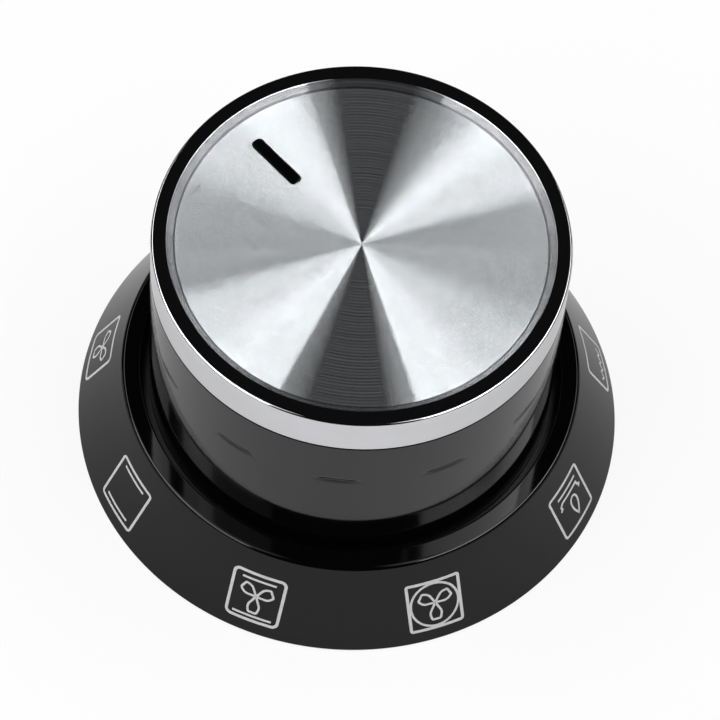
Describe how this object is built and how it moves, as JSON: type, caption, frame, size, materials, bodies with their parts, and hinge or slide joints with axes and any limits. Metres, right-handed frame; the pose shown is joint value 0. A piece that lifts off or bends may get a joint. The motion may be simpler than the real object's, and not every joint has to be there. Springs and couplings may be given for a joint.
{
  "type": "oven control knob",
  "caption": "Round oven function knob: tapered gloss grip with a conical printed skirt, bright trim ring, turned metal face with a pointer, and a D socket for the control shaft.",
  "frame": {"origin": "on the shaft axis at the height of the skirt's rim", "axes": "+Z along the shaft axis towards the face, +Y towards the pointer"},
  "size_m": [0.06, 0.06, 0.0358],
  "materials": {
    "black_gloss": "high gloss black moulding with printed symbols on the skirt",
    "bright_trim": "polished plating",
    "turned_face": "turned with fine rings",
    "spring_steel": "plain rolled strip"
  },
  "bodies": {
    "root": {"knob_body": "black_gloss", "skirt": "black_gloss", "chrome_ring": "bright_trim", "face_disc": "turned_face", "shaft_spring": "spring_steel"}
  },
  "joints": []
}
